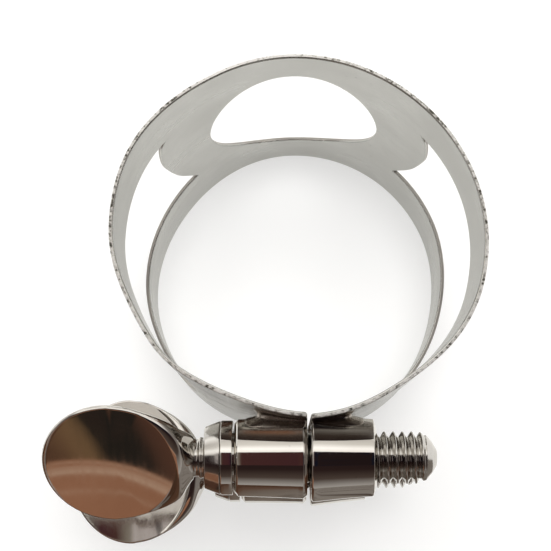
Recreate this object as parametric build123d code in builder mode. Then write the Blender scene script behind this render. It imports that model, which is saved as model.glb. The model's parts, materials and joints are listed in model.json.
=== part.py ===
"""Saxophone ligature: a sprung sheet band, closed round a mouthpiece by two thumb screws.

Frame: the band's axis is +Z, with its small rim on Z = 0 and its large rim up.
The split and both screws are on the -Y side, and the screws run along X with their
heads at -X. The origin is the centre of the small rim.
"""
import os
from math import cos, radians, sin, tan

from build123d import *

# Band, in millimetres and degrees
sheet = 0.4
band_length = 31.0
small_radius = 12.9
large_radius = 14.0
small_strip = 7.0
small_split_depth = 12.95
large_split_depth = 13.1
small_arm_slope = 10.0
large_arm_slope = 18.0
main_arc_half_angle = 125.0
split_x = 0.8
split_gap = 0.3
split_cut_y = -13.0
split_cut_depth = 4.0

# Windows in the band
back_window_height = 16.4
back_window_half_width = 6.95
back_window_x = -0.2
back_window_half_height = 9.8
side_window_low = 8.8
side_window_high = 24.4
side_window_front_y = -9.8
side_window_corner = 2.0
side_window_inner_x = 4.5
side_cut_depth = 14.0
back_cut_start_y = 18.0
back_cut_depth = 10.0
lobe_start = (9.6, side_window_low)
lobe_points = [(8.96, 11.7), (8.57, 14.1), (8.26, 18.2), (8.32, 20.6), (8.69, 23.2), (9.2, side_window_high)]

# Screws and barrels. Each axis is its y, its height, and its angle in plan about the split
screw_axes = {"front": (-16.25, 26.0, 0.0), "rear": (-16.4, 8.5, 1.4)}
barrel_outer_radius = 2.95
plain_barrel_split_radius = 3.15
threaded_barrel_split_radius = 3.4
plain_barrel_end = -4.92
threaded_barrel_end = 5.98
threaded_barrel_dome = 0.35
threaded_barrel_mouth_radius = 2.3
barrel_edge = 0.3
barrel_bore_radius = 2.06
washer_start = -5.04
washer_end = -5.97
washer_radius = 2.85
washer_chamfer = 0.08
cone_end = -7.2
cone_small_radius = 2.42
neck_end = -8.07
neck_radius = 1.62
neck_groove = 0.25
shank_radius = 1.98
thread_radius = 2.0
thread_pitch = 0.7
thread_depth = 0.38
thread_turns = 14
thread_tip = 10.63
tip_length = 0.6
running_gap = 0.02

# Thumb screw heads
head_tip = -19.67
head_widest_x = -15.17
head_half_width = 6.2
head_shoulder = (-10.37, 4.65)
head_thickness = 1.0
head_dish_radius = 28.0
head_dish_depth = 0.3
head_dish_x = -14.57
head_rib_end = -11.67
head_rib_tip_radius = 0.6
head_flare_lean = 0.3
head_lift = 0.65
head_tilt = {"front": 48.2, "rear": 6.0}

# Brazed saddles between barrels and band
saddle_length = 3.7
saddle_half_width = 1.9
saddle_top = -10.4

os.makedirs("parts", exist_ok=True)


def save(part, label):
    part.label = label
    export_step(part, "parts/" + label + ".step")


def corner_radius(radius, split_depth, slope, reach):
    """Radius of the bend that joins the main arc to a straight arm ending at the split."""
    turn = radians(main_arc_half_angle)
    rise = tan(radians(slope))
    fall = cos(turn) - sin(turn) * rise
    return (radius * fall + reach * rise + split_depth) / (fall + 1 / cos(radians(slope)))


def ring_face(height, radius, split_depth, slope, grow):
    """Outline at one height: a main arc, a bend each side, and two arms to the split."""
    turn = radians(main_arc_half_angle)
    start = main_arc_half_angle - 90
    with BuildSketch(Plane.XY.offset(height)) as outline:
        with BuildLine():
            CenterArc((0, 0), radius + grow, -start, 180 + 2 * start)
            split_point = (split_x, -split_depth - grow / cos(radians(slope)))
            for side in (1, -1):
                bend = corner_radius(radius, split_depth, slope, side * split_x)
                centre_x = side * (radius - bend) * sin(turn)
                centre_y = (radius - bend) * cos(turn)
                arm_angle = slope - 90
                first = arm_angle if side > 0 else 180 + start
                CenterArc((centre_x, centre_y), bend + grow, first, -start - arm_angle)
                end_x = centre_x + side * (bend + grow) * sin(radians(slope))
                end_y = centre_y - (bend + grow) * cos(radians(slope))
                Line((end_x, end_y), split_point)
        make_face()
    return outline.sketch


def small_face(height, grow):
    return ring_face(height, small_radius, small_split_depth, small_arm_slope, grow)


def large_face(height, grow):
    return ring_face(height, large_radius, large_split_depth, large_arm_slope, grow)


# Solid core inside the band, and the filled outside of the band
with BuildPart() as core:
    extrude(small_face(0, 0), amount=small_strip)
    loft(sections=[small_face(small_strip, 0), large_face(band_length, 0)], ruled=True)

with BuildPart() as outside:
    extrude(small_face(0, sheet), amount=small_strip)
    loft(sections=[small_face(small_strip, sheet), large_face(band_length, sheet)], ruled=True)

# Band: rolled sheet with an oval back window, two lobed side windows and a split
with BuildPart() as band:
    add(outside.part)
    add(core.part, mode=Mode.SUBTRACT)
    with BuildSketch(Plane.XZ.offset(-back_cut_start_y)):
        with Locations((back_window_x, back_window_height)):
            Ellipse(back_window_half_width, back_window_half_height)
    extrude(amount=back_cut_depth, mode=Mode.SUBTRACT)
    for side in (1, -1):
        with BuildSketch(Plane.YZ.offset(side * side_window_inner_x)) as window:
            with BuildLine():
                far_edge = Line((side_window_front_y, side_window_low), lobe_start)
                lobe = Spline(lobe_start, *lobe_points)
                near_edge = Line(lobe @ 1, (side_window_front_y, side_window_high))
                Line(near_edge @ 1, far_edge @ 0)
            make_face()
            front_corners = window.vertices().group_by(Axis.X)[0]
            fillet(front_corners, side_window_corner)
        extrude(amount=side * side_cut_depth, mode=Mode.SUBTRACT)
    with Locations((split_x, split_cut_y, band_length / 2)):
        Box(split_gap, split_cut_depth, 2 * band_length, mode=Mode.SUBTRACT)
save(band.part, "band")

for place, (screw_y, height, plan_angle) in screw_axes.items():
    axis = Axis((0, screw_y, height), (1, 0, 0))
    pivot = Axis((split_x, screw_y, height), (0, 0, 1))
    section = Plane.XY.offset(height)

    # Barrels: short tapered tubes, each brazed to its own side of the split
    for kind in ("plain", "threaded"):
        if kind == "plain":
            outward = -1
            outer_end = plain_barrel_end
            split_radius = plain_barrel_split_radius
            dome = -barrel_edge
            mouth_radius = barrel_outer_radius - barrel_edge
        else:
            outward = 1
            outer_end = threaded_barrel_end
            split_radius = threaded_barrel_split_radius
            dome = threaded_barrel_dome
            mouth_radius = threaded_barrel_mouth_radius
        split_end = split_x + outward * split_gap / 2
        with BuildPart() as blank:
            with BuildSketch(section) as profile:
                with BuildLine():
                    Polyline(
                        (split_end, screw_y),
                        (split_end, screw_y + split_radius),
                        (outer_end - dome, screw_y + barrel_outer_radius),
                        (outer_end, screw_y + mouth_radius),
                        (outer_end, screw_y),
                        close=True,
                    )
                make_face()
                fillet(profile.vertices().sort_by(Axis.Y)[-1], barrel_edge)
            revolve(axis=axis)

        with BuildPart() as tube:
            add(blank.part)
            with BuildSketch(Plane((split_end, screw_y, height), z_dir=(outward, 0, 0))):
                Circle(barrel_bore_radius)
            extrude(amount=abs(outer_end - split_end), mode=Mode.SUBTRACT)
        with BuildPart() as barrel:
            add(tube.part.rotate(pivot, plan_angle))
            add(outside.part, mode=Mode.SUBTRACT)
        save(barrel.part, place + "_" + kind + "_barrel")

        # Saddle: the braze metal that fills the space between a barrel and the band
        with BuildPart() as filler:
            filler_x = split_end + outward * saddle_length / 2
            with Locations((filler_x, (saddle_top + screw_y) / 2, height)):
                Box(saddle_length, saddle_top - screw_y, 2 * saddle_half_width)
            add(blank.part, mode=Mode.SUBTRACT)
        with BuildPart() as saddle:
            add(filler.part.rotate(pivot, plan_angle))
            add(outside.part, mode=Mode.SUBTRACT)
        save(saddle.part, place + "_" + kind + "_saddle")

    # Thrust washer: a loose ring between the plain barrel and the screw's shoulder
    with BuildPart() as washer:
        with BuildSketch(Plane((washer_start, screw_y, height), z_dir=(-1, 0, 0))):
            Circle(washer_radius)
            Circle(barrel_bore_radius, mode=Mode.SUBTRACT)
        extrude(amount=washer_start - washer_end)
        rims = washer.edges().filter_by(GeomType.CIRCLE).group_by(SortBy.RADIUS)[-1]
        chamfer(rims, washer_chamfer)
    save(washer.part.rotate(pivot, plan_angle), place + "_thrust_washer")

    # Thumb screw: thread, plain shank, conical shoulder and grooved neck, turned in one
    shoulder = washer_end - running_gap
    thread_end = thread_tip - tip_length
    thread_start = thread_end - thread_turns * thread_pitch
    root_radius = thread_radius - thread_depth
    with BuildPart() as screw:
        with BuildSketch(section):
            with BuildLine():
                outline = [
                    (neck_end, 0),
                    (neck_end, neck_radius),
                    ((neck_end + cone_end) / 2, neck_radius - neck_groove),
                    (cone_end, neck_radius),
                    (cone_end, cone_small_radius),
                    (shoulder, washer_radius),
                    (shoulder, shank_radius),
                    (thread_start, shank_radius),
                ]
                for turn in range(thread_turns):
                    crest = thread_start + turn * thread_pitch
                    outline.append((crest + thread_pitch / 8, thread_radius))
                    outline.append((crest + thread_pitch / 2, root_radius))
                    outline.append((crest + thread_pitch * 7 / 8, thread_radius))
                outline.append((thread_end, root_radius))
                outline.append((thread_end + tip_length * 3 / 4, root_radius * 2 / 3))
                outline.append((thread_tip, 0))
                Polyline(*[(x, screw_y + r) for x, r in outline], close=True)
            make_face()
        revolve(axis=axis)
    save(screw.part.rotate(pivot, plan_angle), place + "_thumb_screw")

    # Head: a dished egg-shaped plate, raised off the screw's axis on its dished side,
    # with a rib that runs into the neck
    tilt = radians(head_tilt[place])
    middle_plane = Plane((0, screw_y, height), x_dir=(1, 0, 0), z_dir=(0, -sin(tilt), cos(tilt)))
    head_plane = middle_plane.offset(head_lift)
    with BuildPart() as head:
        with BuildSketch(head_plane):
            with BuildLine():
                for side in (1, -1):
                    neck_point = (neck_end, side * neck_radius)
                    flare = (-head_flare_lean, side)
                    widest = (head_widest_x, side * head_half_width)
                    shoulder_point = (head_shoulder[0], side * head_shoulder[1])
                    Spline(neck_point, shoulder_point, widest, tangents=[flare, (-1, 0)])
                    Spline(widest, (head_tip, 0), tangents=[(-1, 0), (0, -side)])
                Line((neck_end, -neck_radius), (neck_end, neck_radius))
            make_face()
        extrude(amount=head_thickness / 2, both=True)
        with BuildSketch(middle_plane):
            with BuildLine():
                Polyline(
                    (neck_end, 0),
                    (neck_end, neck_radius),
                    (head_rib_end, head_rib_tip_radius),
                    (head_rib_end, 0),
                    close=True,
                )
            make_face()
        revolve(axis=axis)
        dish_centre = head_thickness / 2 + head_dish_radius - head_dish_depth
        for face_side in (1, -1):
            with Locations(head_plane * Location((head_dish_x, 0, face_side * dish_centre))):
                Sphere(head_dish_radius, mode=Mode.SUBTRACT)
    save(head.part.rotate(pivot, plan_angle), place + "_screw_head")
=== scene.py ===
"""Looks of the saxophone ligature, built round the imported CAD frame.

Row frame: the band's axis is +Z with its small rim on Z = 0, the split and both screws
are on the -Y side, and the screws run along X with their heads at -X.
Shapes are worked out in millimetres, and add_piece() turns them into metres.
"""
import json
import math

import bmesh
import bpy
import numpy as np
from mathutils import Matrix, Vector, noise
from mathutils.geometry import delaunay_2d_cdt


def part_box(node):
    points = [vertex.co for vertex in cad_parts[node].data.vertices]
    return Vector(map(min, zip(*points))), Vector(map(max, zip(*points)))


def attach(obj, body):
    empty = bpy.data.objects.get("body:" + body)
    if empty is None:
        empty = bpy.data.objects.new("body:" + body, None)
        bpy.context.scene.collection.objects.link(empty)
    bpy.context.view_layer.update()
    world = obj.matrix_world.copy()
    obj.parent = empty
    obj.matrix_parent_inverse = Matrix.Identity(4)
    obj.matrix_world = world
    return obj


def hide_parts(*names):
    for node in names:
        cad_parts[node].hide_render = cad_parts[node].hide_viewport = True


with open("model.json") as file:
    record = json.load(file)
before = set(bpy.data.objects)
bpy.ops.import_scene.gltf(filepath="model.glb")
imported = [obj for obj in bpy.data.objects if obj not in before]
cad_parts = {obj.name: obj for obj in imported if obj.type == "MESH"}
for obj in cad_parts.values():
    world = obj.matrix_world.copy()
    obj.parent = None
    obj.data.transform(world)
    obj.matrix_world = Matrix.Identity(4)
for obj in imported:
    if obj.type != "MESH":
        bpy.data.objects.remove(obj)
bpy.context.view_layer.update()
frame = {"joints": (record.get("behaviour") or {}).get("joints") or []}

MM = 0.001
PLACES = ("front", "rear")


def box_mm(node):
    low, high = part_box(node)
    return np.array(low) / MM, np.array(high) / MM


# ---------------------------------------------------------------- driving dimensions, mm and degrees
sheet = 0.34
band_low, band_high = box_mm("band")
band_length = band_high[2]
packed_sheet = 0.4
large_radius = band_high[0] - packed_sheet
small_radius = large_radius - 1.1
small_strip = 7.0
small_split_depth = 12.95
small_arm_slope = math.radians(10)
main_arc = math.radians(125)
small_rim_shift = -0.2
small_rim_narrowing = 0.99
# How far each rim is bent off its curve: (centre and half width in degrees, distance out)
large_rim_bends = ((-60, 34, 0.36), (38, 55, -0.18), (-112, 26, -0.34), (-160, 34, -0.52), (143, 26, -0.1))
small_rim_bends = ((-52, 50, -0.37), (102, 36, -0.2))
rim_flat_start = {-1: 86.0, 1: 104.0}
rim_flat_end = 150.0
rim_flat_depth = 0.8
split_x = 0.8
split_gap = 0.3
small_split_gap = 0.1
split_corner = 0.5
edge_round = 0.08
inner_edge_round = 0.13
outer_edge_round = 0.05
burr = 0.055

back_window_height = 16.4
back_window_half_width = 6.95
back_window_half_height = 9.8
back_window_x = -0.2
side_window_low = 8.8
side_window_high = 24.4
side_window_front_y = -9.8
side_window_corner = 2.0
lobe_points = {
    -1: ((43.0, 8.8), (47.5, 11.6), (50.3, 13.9), (52.7, 18.0), (52.8, 20.6), (51.3, 23.2), (48.6, 24.4)),
    1: ((42.0, 8.8), (46.3, 11.8), (49.0, 14.4), (51.2, 18.4), (51.3, 20.6), (49.6, 23.2), (46.8, 24.4)),
}

barrel_radius = 2.95
plain_split_radius = 3.15
threaded_split_radius = 3.4
bore_radius = 2.06
washer_radius = 2.85
neck_radius = 1.62
cone_small_radius = 2.42
shank_radius = 1.9
thread_radius = 2.0
thread_pitch = 0.7
thread_depth = 0.43
running_gap = 0.02

plain_barrel_end, plain_split_face = (corner[0] for corner in box_mm("front_plain_barrel"))
threaded_split_face, threaded_barrel_end = (corner[0] for corner in box_mm("front_threaded_barrel"))
washer_outer, washer_inner = (corner[0] for corner in box_mm("front_thrust_washer"))
neck_start, thread_tip = (corner[0] for corner in box_mm("front_thumb_screw"))
cone_end = neck_start + 0.87
thread_start = threaded_split_face
head_tip = box_mm("front_screw_head")[0][0]

neck_to_dish_centre = 6.3
head_centre = -neck_start + neck_to_dish_centre
dish_half_length = 4.98
dish_half_width = 6.05
head_rim_half_thickness = 0.25
head_lift = 0.65
dish_depth = 0.5
dish_rim_width = 0.14
head_tilt = {"front": math.radians(48.2), "rear": math.radians(6)}


def screw_line(place):
    """Where a screw's axis crosses the split, as y and height, and its angle in plan."""
    joint = next(joint for joint in frame["joints"] if joint["name"] == f"{place}_screw_turn")
    out_x, out_y, _ = joint["axis"]
    x, y, height = (value / MM for value in joint["pos_m"])
    plan_angle = math.atan2(-out_y, -out_x)
    return y + (split_x - x) * math.tan(plan_angle), height, plan_angle


# ---------------------------------------------------------------- mesh helpers
def unit(vector):
    return vector / np.linalg.norm(vector)


def smooth(share):
    """Eases from 0 to 1."""
    share = np.clip(share, 0, 1)
    return share * share * (3 - 2 * share)


def rounded_path(corners, spacing, closed=True):
    """Points along straight edges between (a, b, radius) corners, each rounded by its radius."""
    points = []
    count = len(corners)
    for index, (a, b, radius) in enumerate(corners):
        here = np.array((a, b), float)
        arc = [here]
        inside = closed or 0 < index < count - 1
        if radius > 0 and inside:
            to_last = unit(np.array(corners[index - 1][:2], float) - here)
            to_next = unit(np.array(corners[(index + 1) % count][:2], float) - here)
            half = math.acos(np.clip(to_last @ to_next, -1, 1)) / 2
            centre = here + unit(to_last + to_next) * radius / math.sin(half)
            first = here + to_last * radius / math.tan(half) - centre
            last = here + to_next * radius / math.tan(half) - centre
            sweep = math.pi - 2 * half
            steps = max(3, math.ceil(sweep / math.radians(12)))
            arc = []
            for step in range(steps + 1):
                share = step / steps
                blend = first * math.sin((1 - share) * sweep) + last * math.sin(share * sweep)
                arc.append(centre + blend / math.sin(sweep))
        if points:
            points += straight(points[-1], arc[0], spacing)
        points += arc
    if closed:
        points += straight(points[-1], points[0], spacing)
    return np.array(points)


def straight(start, end, spacing):
    """Points strictly between start and end."""
    steps = max(1, math.ceil(np.linalg.norm(end - start) / spacing))
    return [start + (end - start) * step / steps for step in range(1, steps)]


def through(points, steps):
    """A smooth curve through the points (Catmull-Rom)."""
    points = np.array(points, float)
    padded = np.vstack((2 * points[0] - points[1], points, 2 * points[-1] - points[-2]))
    curve = []
    for p0, p1, p2, p3 in zip(padded, padded[1:], padded[2:], padded[3:]):
        for step in range(steps):
            t = step / steps
            curve.append(
                p1 + (p2 - p0) * t / 2 + (p0 * 2 - p1 * 5 + p2 * 4 - p3) * t * t / 2
                + (p1 * 3 - p0 - p2 * 3 + p3) * t ** 3 / 2
            )
    curve.append(points[-1])
    return np.array(curve)


def turn_in_plan(bm, line):
    """Turns a shape, made round a line along X, to the screw's own angle in plan."""
    axis_y, axis_z, plan_angle = line
    bmesh.ops.rotate(
        bm, verts=bm.verts, cent=(split_x, axis_y, axis_z), matrix=Matrix.Rotation(plan_angle, 3, "Z")
    )


def add_piece(name, bm, body, node, materials, weighted=True):
    """Turns a bmesh in millimetres into a smooth piece that rides on a body and stands for a node."""
    bmesh.ops.remove_doubles(bm, verts=bm.verts, dist=0.0005)
    bmesh.ops.dissolve_degenerate(bm, edges=bm.edges, dist=0.0002)
    bmesh.ops.recalc_face_normals(bm, faces=bm.faces)
    bmesh.ops.scale(bm, verts=bm.verts, vec=(MM, MM, MM))
    for face in bm.faces:
        face.smooth = True
    mesh = bpy.data.meshes.new(name)
    bm.to_mesh(mesh)
    bm.free()
    piece = bpy.data.objects.new(name, mesh)
    bpy.context.scene.collection.objects.link(piece)
    for material in materials:
        mesh.materials.append(material)
    if weighted:
        modifier = piece.modifiers.new("Even_shading", "WEIGHTED_NORMAL")
        modifier.weight = 80
    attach(piece, body)
    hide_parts(node)
    return piece


def add_rings(bm, rings, closed_round=True):
    """Quads between rings of points that all have the same length."""
    rows = [[bm.verts.new(tuple(point)) for point in ring] for ring in rings]
    for row, following in zip(rows, rows[1:]):
        count = len(row) if closed_round else len(row) - 1
        for index in range(count):
            after = (index + 1) % len(row)
            bm.faces.new((row[index], row[after], following[after], following[index]))
    return rows


def lathe(bm, profile, line, columns=120):
    """Turns (x, radius) points round the line along X."""
    axis_y, axis_z = line[:2]
    angles = np.linspace(0, 2 * math.pi, columns, endpoint=False)
    rings = []
    for x, radius in profile:
        radius = max(radius, 1e-4)
        ring = np.stack(
            (np.full(columns, x), axis_y + radius * np.cos(angles), axis_z + radius * np.sin(angles)), 1
        )
        rings.append(ring)
    return add_rings(bm, rings)


# ---------------------------------------------------------------- band
arc_span = 29.3
bend_span = 7.5
arm_span = 4.3
half_span = arc_span + bend_span + arm_span


def outline_xy(along, radius, split_depth, slope, gap, grow):
    """Point of one outline: a main arc from the back, a bend, and a straight arm to the split."""
    side = np.where(along < 0, -1.0, 1.0)
    reach = np.abs(along)
    rise = math.tan(slope)
    fall = math.cos(main_arc) - math.sin(main_arc) * rise
    bend = (radius * fall + side * split_x * rise + split_depth) / (fall + 1 / math.cos(slope))
    centre_x = side * (radius - bend) * math.sin(main_arc)
    centre_y = (radius - bend) * math.cos(main_arc)
    turn = main_arc * np.clip(reach / arc_span, 0, 1)
    on_bend = reach > arc_span
    turn = turn + (math.pi - slope - main_arc) * np.clip((reach - arc_span) / bend_span, 0, 1)
    size = np.where(on_bend, bend, radius) + grow
    x = np.where(on_bend, centre_x, 0) + side * size * np.sin(turn)
    y = np.where(on_bend, centre_y, 0) + size * np.cos(turn)
    arm = np.clip((reach - arc_span - bend_span) / arm_span, 0, 1)
    end_x = split_x + side * gap / 2
    end_y = -split_depth - grow / math.cos(slope) + gap / 2 * rise
    return x + (end_x - x) * arm, y + (end_y - y) * arm


def bent(degrees, bends):
    """How far a rim is bent out at an angle from the back."""
    distance = 0.0
    for centre, half_width, depth in bends:
        distance = distance + depth * (1 - smooth(np.abs(degrees - centre) / half_width))
    return distance


def small_rim_xy(along, grow):
    """Point of the small rim, which is a little narrow and pressed in at one side of the back."""
    x, y = outline_xy(along, small_radius, small_split_depth, small_arm_slope, small_split_gap, grow)
    degrees = np.degrees(along / arc_span * main_arc)
    out = bent(degrees, small_rim_bends)
    free = 1 - np.clip(np.abs(along) / half_span, 0, 1) ** 6
    x = x * (1 - (1 - small_rim_narrowing) * free) + small_rim_shift * free
    return x + out * np.sin(np.radians(degrees)), y + out * np.cos(np.radians(degrees))


def large_rim_xy(along, grow):
    """Point of the large rim: a circle, pressed in towards the split and bent a little by use."""
    side = np.where(along < 0, -1.0, 1.0)
    last = math.pi - side * math.asin(split_x / large_radius) - split_gap / 2 / large_radius
    turn = np.abs(along) / half_span * last
    degrees = np.degrees(turn)
    flat_start = np.where(side < 0, rim_flat_start[-1], rim_flat_start[1])
    pressed = smooth((degrees - flat_start) / (rim_flat_end - flat_start))
    radius = large_radius - rim_flat_depth * pressed + bent(side * degrees, large_rim_bends) + grow
    return side * radius * np.sin(turn), radius * np.cos(turn)


def band_point(along, height, grow):
    """Point of the band's wall, grow millimetres out from its inner skin."""
    along, height = np.asarray(along, float), np.asarray(height, float)
    share = np.clip((height - small_strip) / (band_length - small_strip), 0, 1)
    small_x, small_y = small_rim_xy(along, grow)
    large_x, large_y = large_rim_xy(along, grow)
    x = small_x + (large_x - small_x) * share
    y = small_y + (large_y - small_y) * share
    return np.stack((x, y, height + 0 * x), -1)


def band_frame(along, height, grow):
    """Unit vectors along the outline and up the wall, and the outward normal."""
    step = 0.01
    across = band_point(along + step, height, grow) - band_point(along - step, height, grow)
    upward = band_point(along, height + step, grow) - band_point(along, height - step, grow)
    across /= np.linalg.norm(across, axis=-1, keepdims=True)
    upward /= np.linalg.norm(upward, axis=-1, keepdims=True)
    outward = np.cross(upward, across)
    outward /= np.linalg.norm(outward, axis=-1, keepdims=True)
    return across, upward, outward


def along_at_y(y, height, side):
    """Signed distance along the outline, on one side of the back, where the inner skin is at y."""
    low, high = 0.0, arc_span + bend_span
    for _ in range(40):
        middle = (low + high) / 2
        if band_point(side * middle, height, 0)[1] > y:
            low = middle
        else:
            high = middle
    return side * low


def window_loops():
    """Window outlines in (along, height), each clockwise, so that the metal is on the left."""
    loops = []
    angles = np.linspace(0, -2 * math.pi, 150, endpoint=False)
    heights = back_window_height + back_window_half_height * np.sin(angles)
    share = np.clip((heights - small_strip) / (band_length - small_strip), 0, 1)
    radii = small_radius + (large_radius - small_radius) * share
    turn = np.arcsin((back_window_x + back_window_half_width * np.cos(angles)) / radii)
    loops.append(np.stack((turn * arc_span / main_arc, heights), 1))
    for side in (1, -1):
        points = [(math.radians(turn) * arc_span / main_arc, z) for turn, z in lobe_points[side]]
        corners = [(along, height, 0) for along, height in through(points, 8)]
        for height in (side_window_high, side_window_low):
            corners.append((side * along_at_y(side_window_front_y, height, side), height, side_window_corner))
        loop = rounded_path(corners, 0.4)
        loops.append(loop if side > 0 else (loop * (-1, 1))[::-1])
    return loops


def shifted(loop, distance):
    """The loop moved to its left."""
    ahead = np.roll(loop, -1, 0) - loop
    ahead /= np.linalg.norm(ahead, axis=1, keepdims=True)
    behind = np.roll(ahead, 1, 0)
    left = np.stack((-(ahead + behind)[:, 1], (ahead + behind)[:, 0]), 1)
    left /= np.linalg.norm(left, axis=1, keepdims=True)
    mitre = np.clip((left * np.stack((-ahead[:, 1], ahead[:, 0]), 1)).sum(1), 0.5, 1)
    return loop + left * (distance / mitre)[:, None], left


def inside(points, loop):
    """Which points the closed loop surrounds."""
    x, y = points[:, :1], points[:, 1:]
    x0, y0 = loop[:, 0], loop[:, 1]
    x1, y1 = np.roll(x0, -1), np.roll(y0, -1)
    rise = np.where(y1 == y0, 1e-12, y1 - y0)
    crosses = ((y0 > y) != (y1 > y)) & (x < (x1 - x0) * (y - y0) / rise + x0)
    return crosses.sum(1) % 2 == 1


def burr_at(loop):
    """Small ragged burrs left by the shears: up and out, strongest on the sides of the large rim."""
    ragged = []
    for along, height in loop:
        side_share = float(smooth((abs(along) - 14.0) / 8.0))
        strength = burr * (0.1 + 0.35 * side_share) if height > band_length - 0.01 else burr * 0.15
        up = noise.noise(Vector((along * 2.3, 0.0, height))) + noise.noise(Vector((along * 6.1, 4.0, 0.0)))
        out = noise.noise(Vector((along * 1.7, 9.0, height))) + noise.noise(Vector((along * 5.3, 7.0, 0.0)))
        ragged.append((up * strength * 1.2, out * strength))
    return np.array(ragged)


def build_band(metal, sheared, shaded_window_edge):
    corners = [
        (-half_span, 0, split_corner), (half_span, 0, split_corner),
        (half_span, band_length, split_corner), (-half_span, band_length, split_corner),
    ]
    loops = [rounded_path(corners, 0.17)] + window_loops()
    insets = [shifted(loop, edge_round) for loop in loops]
    flat = np.vstack([inset for inset, _ in insets])
    edges, start = [], 0
    for inset, _ in insets:
        count = len(inset)
        edges += [(start + i, start + (i + 1) % count) for i in range(count)]
        start += count
    grid = []
    column_spacing, row_spacing = 0.55, 1.5
    for column, along in enumerate(np.arange(-half_span + 0.4, half_span - 0.3, column_spacing)):
        rise = row_spacing / 2 * (column % 2)
        grid += [(along, height) for height in np.arange(0.5 + rise, band_length - 0.4, row_spacing)]
    grid = np.array(grid)
    clear = np.ones(len(grid), bool)
    for loop, _ in insets[1:]:
        clear &= ~inside(grid, loop)
        gaps = np.linalg.norm(grid[:, None] - loop[None], axis=2).min(1)
        clear &= gaps > 0.35
    flat = np.vstack((flat, grid[clear]))
    made = delaunay_2d_cdt([Vector(point) for point in flat], edges, [], 0, 1e-7)
    points = np.array([tuple(point) for point in made[0]])
    triangles = np.array([face for face in made[2] if len(face) == 3])
    middles = points[triangles].mean(1)
    keep = inside(middles, insets[0][0])
    for loop, _ in insets[1:]:
        keep &= ~inside(middles, loop)
    triangles = triangles[keep]
    index_of = {}
    for index, originals in enumerate(made[3]):
        for original in originals:
            index_of[original] = index

    bm = bmesh.new()
    normals = []
    skins = []
    for grow, direction in ((sheet, 1), (0.0, -1)):
        places = band_point(points[:, 0], points[:, 1], grow)
        outward = band_frame(points[:, 0], points[:, 1], grow)[2]
        skins.append([bm.verts.new(tuple(place)) for place in places])
        normals += [tuple(direction * n) for n in outward]
        for a, b, c in triangles:
            bm.faces.new([skins[-1][i] for i in (a, b, c)])
    start = 0
    for number, (loop, (inset, left)) in enumerate(zip(loops, insets)):
        count = len(loop)
        edge = [index_of[start + i] for i in range(count)]
        start += count
        rows = [[skins[0][i] for i in edge]]
        ragged = burr_at(loop) if number == 0 else np.zeros((count, 2))
        for grow, share in ((sheet - outer_edge_round, 1.0), (inner_edge_round, 0.5)):
            places = band_point(loop[:, 0], loop[:, 1] + ragged[:, 0] * share, grow + ragged[:, 1] * share)
            across, upward, _ = band_frame(loop[:, 0], loop[:, 1], grow)
            facing = -(across * left[:, :1] + upward * left[:, 1:])
            rows.append([bm.verts.new(tuple(place)) for place in places])
            normals += [tuple(unit(n)) for n in facing]
        rows.append([skins[1][i] for i in edge])
        # Outer edge walls take the edge metal with painted glints; window walls take the darker metal with
        # painted shade.
        wall_material = 1 if number == 0 else 2
        for row, following, index in zip(rows, rows[1:], (wall_material, wall_material, 0)):
            for i in range(count):
                j = (i + 1) % count
                wall = bm.faces.new((row[i], row[j], following[j], following[i]))
                wall.material_index = index
    loose = [vert for vert in bm.verts if not vert.link_faces]
    bm.verts.index_update()
    dropped = {vert.index for vert in loose}
    normals = [n for index, n in enumerate(normals) if index not in dropped]
    bmesh.ops.delete(bm, geom=loose, context="VERTS")
    bmesh.ops.recalc_face_normals(bm, faces=bm.faces)
    bmesh.ops.scale(bm, verts=bm.verts, vec=(MM, MM, MM))
    for face in bm.faces:
        face.smooth = True
    mesh = bpy.data.meshes.new("band_sheet")
    bm.to_mesh(mesh)
    bm.free()
    mesh.normals_split_custom_set_from_vertices(normals)
    mesh.materials.append(metal)
    mesh.materials.append(sheared)
    mesh.materials.append(shaded_window_edge)
    piece = bpy.data.objects.new("band_sheet", mesh)
    bpy.context.scene.collection.objects.link(piece)
    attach(piece, "band")
    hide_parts("band")
    return piece


# ---------------------------------------------------------------- barrels, saddles and washers
def barrel_radius_at(kind, x):
    """Outer radius of a barrel at x: flared towards the split, and nearly straight further out."""
    split_face, end, flare = (
        (plain_split_face, plain_barrel_end, plain_split_radius) if kind == "plain"
        else (threaded_split_face, threaded_barrel_end, threaded_split_radius)
    )
    share = np.clip((x - end) / (split_face - end), 0, 1)
    return barrel_radius + (flare - barrel_radius) * share ** 1.3


def build_barrel(place, kind, line, material):
    if kind == "plain":
        split_face, end, outward = plain_split_face, plain_barrel_end, -1
        flare = plain_split_radius
        mouth = [(end + 0.28, barrel_radius, 0.06), (end, barrel_radius - 0.3, 0.05)]
        lip = [(split_face, flare - 0.24, 0.05), (split_face - 0.3, flare, 0.08)]
    else:
        split_face, end, outward = threaded_split_face, threaded_barrel_end, 1
        mouth = [(end - 0.27, barrel_radius, 0.1), (end - 0.05, 2.35, 0.3), (end, 2.15, 0.03)]
        lip = [(split_face, threaded_split_radius - 0.02, 0.2)]
    body = [split_face + outward * (0.5 + 0.5 * step) for step in range(9)]
    corners = [(split_face, bore_radius, 0.04)] + lip
    corners += [(x, float(barrel_radius_at(kind, x)), 0) for x in body if abs(x - end) > 0.45]
    corners += mouth
    corners += [(end, bore_radius, 0.02), (end - outward * 0.6, bore_radius - 0.04, 0)]
    corners += [(split_face + outward * 0.6, bore_radius - 0.04, 0), (split_face, bore_radius, 0)]
    bm = bmesh.new()
    lathe(bm, rounded_path(corners, 0.5, closed=False), line)
    turn_in_plan(bm, line)
    node = f"{place}_{kind}_barrel"
    return add_piece(f"{node}_body", bm, "band", node, [material])


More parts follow.
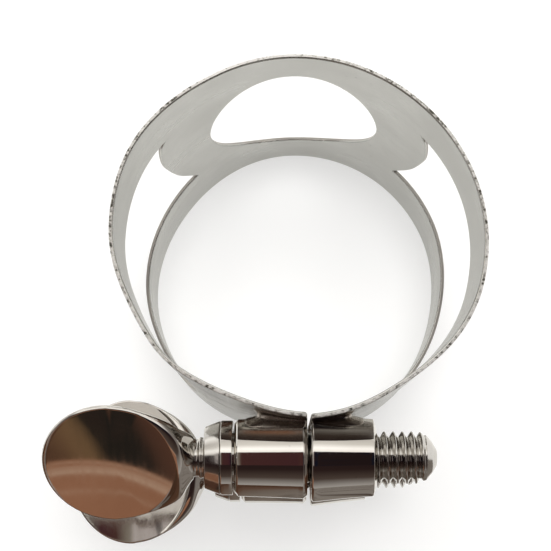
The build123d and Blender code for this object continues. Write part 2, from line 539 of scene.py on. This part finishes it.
def build_saddle(place, kind, line, material):
    """Braze metal between a barrel and the band, flared where it runs on to the barrel."""
    axis_y, axis_z, plan_angle = line
    if kind == "plain":
        split_face, outward, base_length = plain_split_face, -1, 3.85
    else:
        split_face, outward, base_length = threaded_split_face, 1, 3.1
    rows = []
    levels = 16
    for level in range(levels + 1):
        share = level / levels
        on_band = 1 - float(smooth(share / 0.3))
        on_barrel = float(smooth((share - 0.45) / 0.55))
        length = base_length + 0.3 * on_band + 0.95 * on_barrel ** 2
        half_width = 2.0 + 0.4 * on_band + 0.22 * on_barrel
        corners = [
            (0, -half_width, 0), (length, -half_width * 0.9, 0.7),
            (length, half_width * 0.9, 0.7), (0, half_width, 0),
        ]
        path = rounded_path(corners, 0.3, closed=False)
        if rows:
            path = resampled(path, len(rows[0]))
        row = []
        for reach, side in path:
            x = split_face + outward * reach
            radius = float(barrel_radius_at(kind, x)) - 0.03
            drop = math.sqrt(max(radius ** 2 - side ** 2, 0.01))
            world_x = split_x + (x - split_x) * math.cos(plan_angle) - drop * math.sin(plan_angle)
            barrel_y = axis_y + (x - split_x) * math.sin(plan_angle) + drop * math.cos(plan_angle)
            sheet_y = float(band_surface_y(world_x, axis_z + side)) + 0.05
            row.append((world_x, sheet_y + (barrel_y - sheet_y) * share, axis_z + side))
        rows.append(row)
    bm = bmesh.new()
    made = add_rings(bm, rows, closed_round=False)
    for row, following in zip(made, made[1:]):
        bm.faces.new((row[0], row[-1], following[-1], following[0]))
    for row in (made[0], made[-1]):
        bm.faces.new(row)
    node = f"{place}_{kind}_saddle"
    return add_piece(f"{node}_braze", bm, "band", node, [material])


def resampled(path, count):
    steps = np.concatenate(([0], np.cumsum(np.linalg.norm(np.diff(path, axis=0), axis=1))))
    wanted = np.linspace(0, steps[-1], count)
    return np.stack((np.interp(wanted, steps, path[:, 0]), np.interp(wanted, steps, path[:, 1])), 1)


def band_surface_y(x, height):
    """y of the band's outer skin on the split side."""
    low, high = arc_span, half_span
    sign = 1 if x > split_x else -1
    for _ in range(30):
        middle = (low + high) / 2
        if sign * float(band_point(sign * middle, height, sheet)[0]) > sign * x:
            low = middle
        else:
            high = middle
    return band_point(sign * low, height, sheet)[1]


def build_washer(place, line, material):
    corners = [
        (washer_inner, bore_radius, 0), (washer_inner, washer_radius, 0.09),
        (washer_outer, washer_radius, 0.09), (washer_outer, bore_radius, 0.05),
        (washer_inner, bore_radius, 0),
    ]
    bm = bmesh.new()
    lathe(bm, rounded_path(corners, 0.3, closed=False), line)
    turn_in_plan(bm, line)
    node = f"{place}_thrust_washer"
    return add_piece(f"{node}_ring", bm, f"{place}_washer", node, [material])


# ---------------------------------------------------------------- thumb screws
def build_screw(place, line, material):
    """Neck, shoulder, shank, right-hand helical thread and rounded tip, as one closed skin."""
    shoulder = washer_outer - running_gap
    thread_middle = thread_radius - thread_depth * 0.6
    front = [
        (neck_start - 0.8, 0.01, 0), (neck_start - 0.8, neck_radius * 0.8, 0.1),
        (neck_start - 0.1, neck_radius - 0.05, 0.3),
        (neck_start + 0.28, neck_radius - 0.28, 0.25), (neck_start + 0.55, neck_radius + 0.02, 0.16),
        (cone_end - 0.06, neck_radius - 0.2, 0.12), (cone_end - 0.01, cone_small_radius - 0.05, 0.16),
        (shoulder, washer_radius - 0.02, 0.07), (shoulder, shank_radius, 0.03),
        (thread_start - 0.2, shank_radius, 0), (thread_start, thread_middle, 0),
    ]
    thread_end = thread_tip - 0.93
    tip = [
        (thread_end, thread_middle, 0), (thread_end + 0.06, 1.74, 0.05),
        (thread_end + 0.5, 1.24, 0.5), (thread_tip - 0.05, 0.62, 0.3), (thread_tip, 0.01, 0),
    ]
    columns, per_turn = 96, 16
    bm = bmesh.new()
    lathe(bm, rounded_path(front, 0.4, closed=False), line, columns)
    lathe(bm, rounded_path(tip, 0.25, closed=False), line, columns)
    angles = np.linspace(0, 2 * math.pi, columns + 1)
    turns = math.ceil((thread_end - thread_start) / thread_pitch)
    rings = []
    root = thread_radius - thread_depth
    for row in range(-per_turn, turns * per_turn + 1):
        lead = (row / per_turn + angles / (2 * math.pi)) * thread_pitch
        x = np.clip(thread_start + lead, thread_start, thread_end)
        phase = abs((row / per_turn) % 1 - 0.5) * 2
        ridge = thread_depth * float(np.clip((phase - 0.14) / 0.72, 0, 1))
        radius = root + ridge
        ends = np.minimum((x - thread_start) / 0.4, (thread_end - x) / 0.45)
        fade = np.clip(ends, 0, 1)
        radius = thread_middle + (radius - thread_middle) * fade
        ring = np.stack((x, line[0] + radius * np.cos(angles), line[1] + radius * np.sin(angles)), 1)
        rings.append(ring)
    add_rings(bm, rings, closed_round=False)
    turn_in_plan(bm, line)
    node = f"{place}_thumb_screw"
    return add_piece(f"{node}_turned", bm, f"{place}_screw", node, [material], False)


def head_outline():
    """Half of the head's outline, from neck to tip, as (distance out, half width)."""
    neck = -neck_start
    tip = -head_tip
    flare = [
        (neck, neck_radius - 0.1), (neck + 0.35, neck_radius + 0.55), (neck + 0.95, neck_radius + 1.6),
        (neck + 1.75, neck_radius + 2.5), (neck + 2.9, neck_radius + 3.35), (head_centre - 1.6, 5.85),
        (head_centre, dish_half_width + 0.12),
    ]
    half = [tuple(point) for point in through(flare, 6)]
    for step in range(1, 31):
        angle = step / 30 * math.pi / 2
        half.append((head_centre + (tip - head_centre) * math.sin(angle),
                     (dish_half_width + 0.12) * math.cos(angle)))
    return np.array(half)


def build_head(place, line, material):
    """Thumb plate: an oval dish with a thin rim, and a flare that thins from neck to plate."""
    half = head_outline()
    outline = np.vstack((half, (half * (1, -1))[::-1][1:]))
    columns = 160
    bearings = np.linspace(-math.pi, math.pi, columns, endpoint=False)
    seen = np.arctan2(outline[:, 1], outline[:, 0] - head_centre)
    reach = np.hypot(outline[:, 1], outline[:, 0] - head_centre)
    order = np.argsort(seen)
    neck = -neck_start
    edge = np.interp(bearings, seen[order], reach[order], period=2 * math.pi)
    facing_neck = np.cos(bearings) < -0.9
    across = np.where(facing_neck, (head_centre - neck) / np.maximum(-np.cos(bearings), 0.1), 1e3)
    edge = np.minimum(edge, across)
    dish = 1 / np.hypot(np.cos(bearings) / dish_half_length, np.sin(bearings) / dish_half_width)
    dish = np.minimum(dish, edge - 0.16)
    dish_steps = [0.0, 0.15, 0.3, 0.45, 0.6, 0.72, 0.82, 0.9, 0.95, 0.98, 1.0]
    wall_steps = [dish_rim_width * step / 4 for step in (1, 2, 3, 4)]
    flare_steps = 14
    sheets = {}
    for face in (1, -1):
        rings = []
        for share in dish_steps:
            rings.append(head_row(bearings, dish * share, outline, face, share))
        for width in wall_steps:
            rings.append(head_row(bearings, dish + width, outline, face, 1 + width))
        crest = dish + wall_steps[-1]
        for step in range(1, flare_steps + 1):
            radius = crest + (edge - crest) * math.sin(step / flare_steps * math.pi / 2)
            rings.append(head_row(bearings, radius, outline, face, 2.0))
        sheets[face] = rings
    tilt = head_tilt[place]
    axis_y, axis_z = line[:2]

    def placed(ring):
        out, side, height = ring.T
        y = axis_y + side * math.cos(tilt) - height * math.sin(tilt)
        z = axis_z + side * math.sin(tilt) + height * math.cos(tilt)
        return np.stack((-out, y, z), 1)

    bm = bmesh.new()
    front = add_rings(bm, [placed(ring) for ring in sheets[1]])
    back = add_rings(bm, [placed(ring) for ring in sheets[-1]])
    last_front, last_back = front[-1], back[-1]
    for index in range(columns):
        after = (index + 1) % columns
        bm.faces.new((last_front[index], last_front[after], last_back[after], last_back[index]))
    turn_in_plan(bm, line)
    node = f"{place}_screw_head"
    return add_piece(f"{node}_dished", bm, f"{place}_screw", node, [material], False)


def head_row(bearings, radius, outline, face, share):
    """One ring of the head's skin, as (distance out, side, height)."""
    out = head_centre + radius * np.cos(bearings)
    side = radius * np.sin(bearings)
    points = np.stack((out, side), 1)
    segment = np.diff(outline, axis=0)
    offset = points[:, None] - outline[None, :-1]
    along = np.clip((offset * segment).sum(2) / (segment ** 2).sum(1), 0, 1)
    gap = np.linalg.norm(offset - along[..., None] * segment, axis=2).min(1)
    neck = -neck_start
    half = head_outline()
    half_width = np.interp(out, half[:, 0], half[:, 1])
    fade = smooth((out - neck) / (head_centre - 1.6 - neck))
    rib = (neck_radius - head_rim_half_thickness) * (1 - fade)
    domed = np.sqrt(np.maximum(1 - np.clip(np.abs(side) / half_width, 0, 1) ** 2, 0))
    edge_share = np.clip(gap / 0.26, 0, 1)
    rim = head_rim_half_thickness * np.sqrt(np.maximum(1 - (1 - edge_share) ** 2, 0))
    height = rib * domed + rim
    dish_edge = head_centre - dish_half_length - dish_rim_width
    lift = head_lift * smooth((out - neck) / (dish_edge - neck))
    if share <= 1:
        bowl = head_rim_half_thickness - 0.06 - dish_depth * (1 - share ** 2)
        bottom = bowl if face > 0 else bowl - 0.42 - 0.02 * share
        return np.stack((out, side, lift + bottom), 1)
    if share < 2:
        low = head_rim_half_thickness - 0.06
        low = low if face > 0 else low - 0.44
        climb = smooth((share - 1) / dish_rim_width)
        return np.stack((out, side, lift + low + (face * height - low) * climb), 1)
    return np.stack((out, side, lift + face * height), 1)


# ---------------------------------------------------------------- materials
def new_material(name):
    material = bpy.data.materials.new(name)
    material.use_nodes = True
    nodes = material.node_tree.nodes
    nodes.clear()
    shader = nodes.new("ShaderNodeBsdfPrincipled")
    output = nodes.new("ShaderNodeOutputMaterial")
    material.node_tree.links.new(shader.outputs["BSDF"], output.inputs["Surface"])
    return material, shader


def add_node(material, kind, inputs=None, **settings):
    """A node with its settings, and its inputs as numbers or as other nodes' outputs."""
    node = material.node_tree.nodes.new(kind)
    for key, value in settings.items():
        setattr(node, key, value)
    for key, value in (inputs or {}).items():
        if isinstance(value, bpy.types.NodeSocket):
            material.node_tree.links.new(value, node.inputs[key])
        else:
            node.inputs[key].default_value = value
    return node


def ramp(material, value, stops):
    """A colour ramp with (position, colour) stops."""
    node = add_node(material, "ShaderNodeValToRGB", {"Fac": value})
    elements = node.color_ramp.elements
    while len(elements) < len(stops):
        elements.new(0.5)
    for element, (position, colour) in zip(elements, stops):
        element.position = position
        element.color = (*colour, 1)
    return node.outputs["Color"]


def metal(
    name, light, dark, roughness, rough_spread, grain, grain_scale, bump, specks=0.0, wear=0.0, edge=1.0
):
    """Plated metal: cloudy tint, uneven gloss, fine grain stretched along one way, and small specks."""
    material, shader = new_material(name)
    shader.inputs["Metallic"].default_value = 1.0
    shader.inputs["Specular Tint"].default_value = (edge, edge * 0.995, edge * 0.965, 1)
    place = add_node(material, "ShaderNodeTexCoord").outputs["Object"]
    cloud = add_node(
        material, "ShaderNodeTexNoise", {"Vector": place, "Scale": 160, "Detail": 4, "Roughness": 0.55}
    ).outputs["Fac"]
    tint = ramp(material, cloud, ((0.36, dark), (0.62, light)))
    speck = add_node(
        material, "ShaderNodeTexNoise", {"Vector": place, "Scale": 2600, "Detail": 2, "Roughness": 0.6}
    ).outputs["Fac"]
    pits = add_node(
        material, "ShaderNodeMapRange",
        {"Value": speck, "From Min": 0.70, "From Max": 0.78, "To Min": 0.0, "To Max": specks},
    ).outputs["Result"]
    shade = tuple(c * 0.35 for c in dark)
    coloured = add_node(
        material, "ShaderNodeMix", {"Factor": pits, 6: tint, 7: (*shade, 1)}, data_type="RGBA"
    ).outputs[2]
    material.node_tree.links.new(coloured, shader.inputs["Base Color"])
    stretched = add_node(
        material, "ShaderNodeMapping", {"Vector": place, "Scale": grain_scale}
    ).outputs["Vector"]
    lines = add_node(
        material, "ShaderNodeTexNoise", {"Vector": stretched, "Scale": 1.0, "Detail": 5, "Roughness": 0.7}
    ).outputs["Fac"]
    uneven = add_node(
        material, "ShaderNodeMath", {0: cloud, 1: lines}, operation="ADD"
    ).outputs["Value"]
    gloss = add_node(
        material, "ShaderNodeMapRange",
        {"Value": uneven, "From Min": 0.75, "From Max": 1.25,
         "To Min": roughness, "To Max": roughness + rough_spread},
    ).outputs["Result"]
    material.node_tree.links.new(gloss, shader.inputs["Roughness"])
    relief = add_node(
        material, "ShaderNodeMath", {0: lines, 1: grain, 2: pits}, operation="MULTIPLY_ADD"
    ).outputs["Value"]
    normal = add_node(
        material, "ShaderNodeBump", {"Height": relief, "Strength": bump, "Distance": 0.00001}
    ).outputs["Normal"]
    if wear:
        wave = add_node(
            material, "ShaderNodeTexNoise", {"Vector": place, "Scale": 90, "Detail": 1, "Roughness": 0.4}
        ).outputs["Fac"]
        normal = add_node(
            material, "ShaderNodeBump",
            {"Height": wave, "Strength": 1.0, "Distance": wear * MM, "Normal": normal},
        ).outputs["Normal"]
    material.node_tree.links.new(normal, shader.inputs["Normal"])
    return material


def ragged_glinting_metal(name):
    """Sheared edge: torn metal whose pale tone and short bright marks are painted highlights, glints of light
    caught by the edge, broken by short dark marks of painted shade.
    """
    material, shader = new_material(name)
    shader.inputs["Metallic"].default_value = 1.0
    place = add_node(material, "ShaderNodeTexCoord").outputs["Object"]
    marks = add_node(
        material, "ShaderNodeTexNoise", {"Vector": place, "Scale": 3400, "Detail": 2, "Roughness": 0.5}
    ).outputs["Fac"]
    drift = add_node(
        material, "ShaderNodeTexNoise", {"Vector": place, "Scale": 260, "Detail": 2, "Roughness": 0.5}
    ).outputs["Fac"]
    mixed = add_node(
        material, "ShaderNodeMath", {0: drift, 1: 0.55, 2: marks}, operation="MULTIPLY_ADD"
    ).outputs["Value"]
    # Painted light: the pale and bright tones stand for light glinting off the torn edge, and the darkest
    # tone for shade between the glints.
    tone = ramp(material, mixed, (
        (0.60, (0.10, 0.095, 0.08)), (0.67, (0.42, 0.41, 0.38)), (0.76, (0.80, 0.79, 0.76)),
        (0.90, (0.98, 0.97, 0.95)),
    ))
    material.node_tree.links.new(tone, shader.inputs["Base Color"])
    gloss = add_node(
        material, "ShaderNodeMapRange",
        {"Value": marks, "From Min": 0.35, "From Max": 0.65, "To Min": 0.32, "To Max": 0.6},
    ).outputs["Result"]
    material.node_tree.links.new(gloss, shader.inputs["Roughness"])
    normal = add_node(
        material, "ShaderNodeBump", {"Height": marks, "Strength": 0.8, "Distance": 0.00003}
    ).outputs["Normal"]
    material.node_tree.links.new(normal, shader.inputs["Normal"])
    return material


# ---------------------------------------------------------------- stage
def add_world():
    """Studio surround: a tall white panel behind (+Y), a dark ceiling, and warm tones in front."""
    world = bpy.data.worlds.new("studio")
    bpy.context.scene.world = world
    world.use_nodes = True
    world.node_tree.nodes.clear()
    way = add_node(world, "ShaderNodeTexCoord").outputs["Generated"]
    parts = add_node(world, "ShaderNodeSeparateXYZ", {"Vector": way}).outputs
    forward = add_node(world, "ShaderNodeMath", {0: parts["Y"], 1: -1.0}, operation="MULTIPLY").outputs[0]
    lean = add_node(world, "ShaderNodeMath", {0: forward, 1: parts["Z"]}, operation="ARCTAN2").outputs[0]
    share = add_node(
        world, "ShaderNodeMapRange", {"Value": lean, "From Min": -math.pi, "From Max": math.pi}
    ).outputs["Result"]

    def at(degrees):
        return 0.5 + degrees / 360

    white, dark = (1.0, 0.985, 0.955), (0.014, 0.009, 0.010)
    panels = ramp(world, share, (
        (at(-120), (0.55, 0.54, 0.52)), (at(-84), (0.7, 0.69, 0.67)), (at(-74), white),
        (at(-50), (0.52, 0.50, 0.47)), (at(-36), (0.62, 0.60, 0.56)), (at(-24), white),
        (at(-13), (0.85, 0.82, 0.78)), (at(-5), dark), (at(36), (0.018, 0.010, 0.009)),
        (at(62), (0.055, 0.040, 0.033)), (at(88), (0.28, 0.265, 0.25)), (at(120), (0.3, 0.28, 0.26)),
    ))
    sideways = add_node(world, "ShaderNodeMath", {0: parts["X"]}, operation="ABSOLUTE").outputs[0]
    wing = add_node(
        world, "ShaderNodeMapRange", {"Value": sideways, "From Min": 0.78, "From Max": 0.9}
    ).outputs["Result"]
    surround = add_node(
        world, "ShaderNodeMix", {"Factor": wing, 6: panels, 7: (0.16, 0.145, 0.135, 1)}, data_type="RGBA"
    ).outputs[2]
    seen = add_node(world, "ShaderNodeLightPath").outputs["Is Camera Ray"]
    shown = add_node(
        world, "ShaderNodeMix", {"Factor": seen, 6: surround, 7: (0.80, 0.80, 0.795, 1)}, data_type="RGBA"
    ).outputs[2]
    back = add_node(world, "ShaderNodeBackground", {"Color": shown, "Strength": 1.6})
    output = add_node(world, "ShaderNodeOutputWorld", {"Surface": back.outputs[0]})
    return output


def add_floor():
    bm = bmesh.new()
    reach = 3.0
    bmesh.ops.create_grid(bm, x_segments=8, y_segments=8, size=reach)
    mesh = bpy.data.meshes.new("floor")
    bm.to_mesh(mesh)
    bm.free()
    floor = bpy.data.objects.new("floor", mesh)
    bpy.context.scene.collection.objects.link(floor)
    material, shader = new_material("pale_floor")
    place = add_node(material, "ShaderNodeTexCoord").outputs["Object"]
    cloud = add_node(
        material, "ShaderNodeTexNoise", {"Vector": place, "Scale": 12, "Detail": 3}
    ).outputs["Fac"]
    tone = ramp(material, cloud, ((0.3, (0.50, 0.50, 0.498)), (0.7, (0.53, 0.53, 0.528))))
    material.node_tree.links.new(tone, shader.inputs["Base Color"])
    shader.inputs["Roughness"].default_value = 0.8
    shader.inputs["Emission Color"].default_value = (1, 1, 0.995, 1)
    shader.inputs["Emission Strength"].default_value = 0.52
    mesh.materials.append(material)


def glow(name, tones, streaks, stretch):
    """A card's material: tones from its -X end to its +X end, broken by soft dark or bright streaks."""
    material, shader = new_material(name)
    shader.inputs["Base Color"].default_value = (0, 0, 0, 1)
    shader.inputs["Specular IOR Level"].default_value = 0.0
    place = add_node(material, "ShaderNodeTexCoord").outputs["Object"]
    reach = add_node(material, "ShaderNodeSeparateXYZ", {"Vector": place}).outputs["X"]
    share = add_node(
        material, "ShaderNodeMapRange", {"Value": reach, "From Min": -0.05, "From Max": 0.05}
    ).outputs["Result"]
    tone = ramp(material, share, [((x + 50) / 100, colour) for x, colour in tones])
    stretched = add_node(
        material, "ShaderNodeMapping", {"Vector": place, "Scale": stretch}
    ).outputs["Vector"]
    lines = add_node(
        material, "ShaderNodeTexNoise", {"Vector": stretched, "Scale": 1.0, "Detail": 2, "Roughness": 0.5}
    ).outputs["Fac"]
    low, high, colour = streaks
    cover = add_node(
        material, "ShaderNodeMapRange", {"Value": lines, "From Min": low, "From Max": high}
    ).outputs["Result"]
    shown = add_node(
        material, "ShaderNodeMix", {"Factor": cover, 6: tone, 7: (*colour, 1)}, data_type="RGBA"
    ).outputs[2]
    material.node_tree.links.new(shown, shader.inputs["Emission Color"])
    shader.inputs["Emission Strength"].default_value = 1.0
    return material


def add_card(name, low, high, material):
    """A flat studio card between two corners (mm). Only reflections see it."""
    low, high = np.array(low, float), np.array(high, float)
    flat = int(np.argmin(high - low))
    u, v = (axis for axis in range(3) if axis != flat)
    bm = bmesh.new()
    corners = []
    for share_u, share_v in ((0, 0), (1, 0), (1, 1), (0, 1)):
        corner = low.copy()
        corner[u] += (high - low)[u] * share_u
        corner[v] += (high - low)[v] * share_v
        corners.append(bm.verts.new(tuple(corner * MM)))
    bm.faces.new(corners)
    mesh = bpy.data.meshes.new(name)
    bm.to_mesh(mesh)
    bm.free()
    mesh.materials.append(material)
    card = bpy.data.objects.new(name, mesh)
    bpy.context.scene.collection.objects.link(card)
    for ray in ("camera", "diffuse", "transmission", "volume_scatter", "shadow"):
        setattr(card, f"visible_{ray}", False)
    return card


def add_cards():
    """The surroundings that the polished parts mirror: a warm hand side at -X and a dim front."""
    ceiling = glow("ceiling_card", (
        (-30, (0.55, 0.50, 0.48)), (-22, (0.26, 0.23, 0.19)), (-15, (0.075, 0.03, 0.026)),
        (-3, (0.060, 0.020, 0.026)), (3, (0.010, 0.010, 0.020)), (20, (0.010, 0.010, 0.018)),
    ), (0.56, 0.66, (0.02, 0.012, 0.012)), (60, 20, 1))
    add_card("ceiling_card", (-90, -58, 120), (90, 6, 120), ceiling)
    front_floor = glow("front_floor_card", (
        (-20, (0.10, 0.05, 0.03)), (-9, (0.14, 0.085, 0.06)), (-5, (0.20, 0.165, 0.14)),
        (4, (0.29, 0.26, 0.235)),
    ), (0.55, 0.7, (0.07, 0.05, 0.04)), (160, 12, 1))
    add_card("front_floor_card", (-2900, -2900, 0.3), (2900, -26, 0.3), front_floor)
    hand = glow("hand_card", (
        (-40, (0.26, 0.12, 0.07)), (-16, (0.34, 0.16, 0.092)), (-9, (0.36, 0.17, 0.10)),
    ), (0.60, 0.66, (0.52, 0.34, 0.24)), (14, 1, 900))
    add_card("hand_card", (-34, -45, 24.1), (-10.5, -45, 42), hand)
    shade = glow("shade_card", (
        (-20, (0.10, 0.047, 0.03)), (-18.9, (0.10, 0.047, 0.03)), (-18.4, (0.02, 0.017, 0.014)),
        (-17.2, (0.02, 0.017, 0.014)), (-16.7, (0.22, 0.13, 0.065)), (-15.8, (0.10, 0.05, 0.03)),
    ), (0.62, 0.70, (0.03, 0.02, 0.016)), (420, 1, 60))
    add_card("shade_card", (-34, -45, 1), (-10.5, -45, 24.1), shade)


def add_light(name, place, target, size, power, colour=(1, 1, 1)):
    """A soft area light that lights the floor and the object but isn't mirrored in the metal."""
    light = bpy.data.lights.new(name, "AREA")
    light.shape = "DISK"
    light.size = size
    light.energy = power
    light.color = colour
    lamp = bpy.data.objects.new(name, light)
    bpy.context.scene.collection.objects.link(lamp)
    lamp.location = place
    lamp.rotation_mode = "QUATERNION"
    lamp.rotation_quaternion = (Vector(target) - Vector(place)).to_track_quat("-Z", "Y")
    lamp.visible_glossy = False
    return lamp


def add_camera():
    """Looks down the bore from above the large rim, leaning a little towards the back."""
    camera_data = bpy.data.cameras.new("camera")
    camera_data.lens = 114.6
    camera_data.sensor_width = 36
    camera_data.clip_start = 0.005
    camera_data.clip_end = 50
    camera = bpy.data.objects.new("camera", camera_data)
    bpy.context.scene.collection.objects.link(camera)
    pitch, yaw = math.radians(8.04), math.radians(-0.5)
    ahead = Vector((
        math.sin(yaw) * math.cos(pitch), math.sin(pitch), -math.cos(yaw) * math.cos(pitch)
    ))
    right = ahead.cross(Vector((0, 1, 0))).normalized()
    upward = right.cross(ahead)
    camera.matrix_world = Matrix((
        (right.x, upward.x, -ahead.x, -0.6 * MM),
        (right.y, upward.y, -ahead.y, -21.24 * MM),
        (right.z, upward.z, -ahead.z, 161.42 * MM),
        (0, 0, 0, 1),
    ))
    bpy.context.scene.camera = camera


# ---------------------------------------------------------------- build
band_metal = metal(
    "band_nickel", (0.66, 0.655, 0.625), (0.57, 0.565, 0.535), 0.16, 0.14, 0.5, (60, 60, 3000), 0.25,
    specks=0.7, wear=0.02, edge=0.68,
)
glinting_edge_metal = ragged_glinting_metal("sheared_edge_painted_glints")
# Window walls: the cut sheet's metal made darker. This is painted shade that draws the window cuts as dark
# lines.
shaded_window_metal = metal(
    "shaded_window_edge", (0.50, 0.48, 0.45), (0.34, 0.325, 0.30), 0.36, 0.2, 0.6, (2000, 2000, 2000), 0.3,
    specks=0.5,
)
mirror_metal = metal(
    "polished_nickel", (0.68, 0.655, 0.62), (0.62, 0.595, 0.56), 0.035, 0.05, 0.3, (2500, 120, 120), 0.06,
    specks=0.25, wear=0.006,
)
screw_metal = metal(
    "screw_nickel", (0.62, 0.60, 0.57), (0.50, 0.48, 0.45), 0.09, 0.09, 0.4, (3000, 200, 200), 0.12,
    specks=0.3,
)
# Braze fillets: the dark brown tones are painted shade and painted dark reflection in the crease between band
# and barrel.
shaded_braze_metal = metal(
    "braze_painted_shade", (0.38, 0.34, 0.30), (0.24, 0.21, 0.185), 0.16, 0.16, 0.8, (900, 900, 900), 0.5,
    specks=0.5, wear=0.03,
)

build_band(band_metal, glinting_edge_metal, shaded_window_metal)
for place in PLACES:
    line = screw_line(place)
    for kind in ("plain", "threaded"):
        build_barrel(place, kind, line, mirror_metal)
        build_saddle(place, kind, line, shaded_braze_metal)
    build_washer(place, line, mirror_metal)
    build_screw(place, line, screw_metal)
    build_head(place, line, mirror_metal)

bpy.context.scene.view_settings.view_transform = "Standard"
add_world()
add_floor()
add_cards()
add_light("overhead_soft", (0.05, 0.1, 0.9), (0, 0, 0), 0.7, 6.0)
add_camera()
